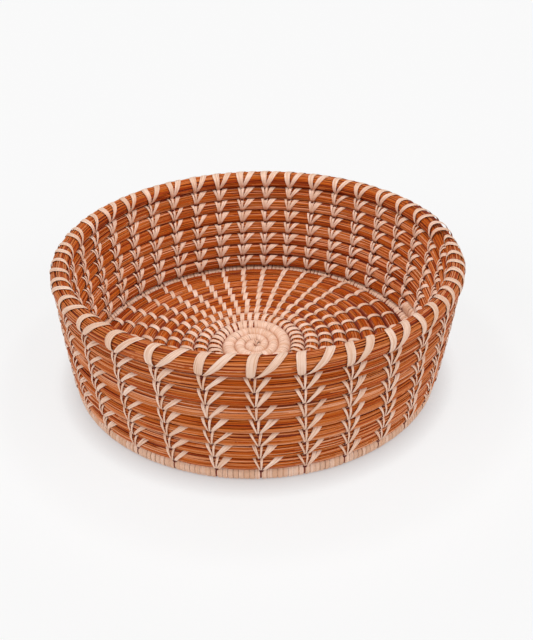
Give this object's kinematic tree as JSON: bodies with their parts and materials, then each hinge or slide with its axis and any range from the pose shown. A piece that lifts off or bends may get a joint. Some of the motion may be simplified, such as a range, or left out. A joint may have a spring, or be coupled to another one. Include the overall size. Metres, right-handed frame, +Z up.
{
  "type": "coiled basket",
  "caption": "Round open basket wound from a grass bundle: flat floor, low steep wall and thick rim, sewn in columns with a pale palm strip in wheat stitch.",
  "frame": {"origin": "on the ground under the middle of the rim", "axes": "+Z up; -Y towards the viewer of the picture; +X right, where the rows step across"},
  "size_m": [0.2548, 0.2548, 0.0873],
  "materials": {
    "dried_grass": "dry grass stems laid side by side, satin",
    "palm_strip": "split palm leaf, matt"
  },
  "bodies": {
    "root": {"start_coil": "palm_strip", "floor_coil": "dried_grass", "corner_coil": "palm_strip", "wall_coil": "dried_grass", "rim_coil": "dried_grass", "stitch_column_01": "palm_strip", "stitch_column_02": "palm_strip", "stitch_column_03": "palm_strip", "stitch_column_04": "palm_strip", "stitch_column_05": "palm_strip", "stitch_column_06": "palm_strip", "stitch_column_07": "palm_strip", "stitch_column_08": "palm_strip", "stitch_column_09": "palm_strip", "stitch_column_10": "palm_strip", "stitch_column_11": "palm_strip", "stitch_column_12": "palm_strip", "stitch_column_13": "palm_strip", "stitch_column_14": "palm_strip", "stitch_column_15": "palm_strip", "stitch_column_16": "palm_strip", "stitch_column_17": "palm_strip", "stitch_column_18": "palm_strip", "stitch_column_19": "palm_strip", "stitch_column_20": "palm_strip", "stitch_column_21": "palm_strip", "stitch_column_22": "palm_strip", "stitch_column_23": "palm_strip", "stitch_column_24": "palm_strip", "stitch_column_25": "palm_strip", "stitch_column_26": "palm_strip", "stitch_column_27": "palm_strip", "stitch_column_28": "palm_strip", "stitch_column_29": "palm_strip", "stitch_column_30": "palm_strip", "stitch_column_31": "palm_strip", "stitch_column_32": "palm_strip", "stitch_column_33": "palm_strip", "stitch_column_34": "palm_strip", "stitch_column_35": "palm_strip"}
  },
  "joints": []
}
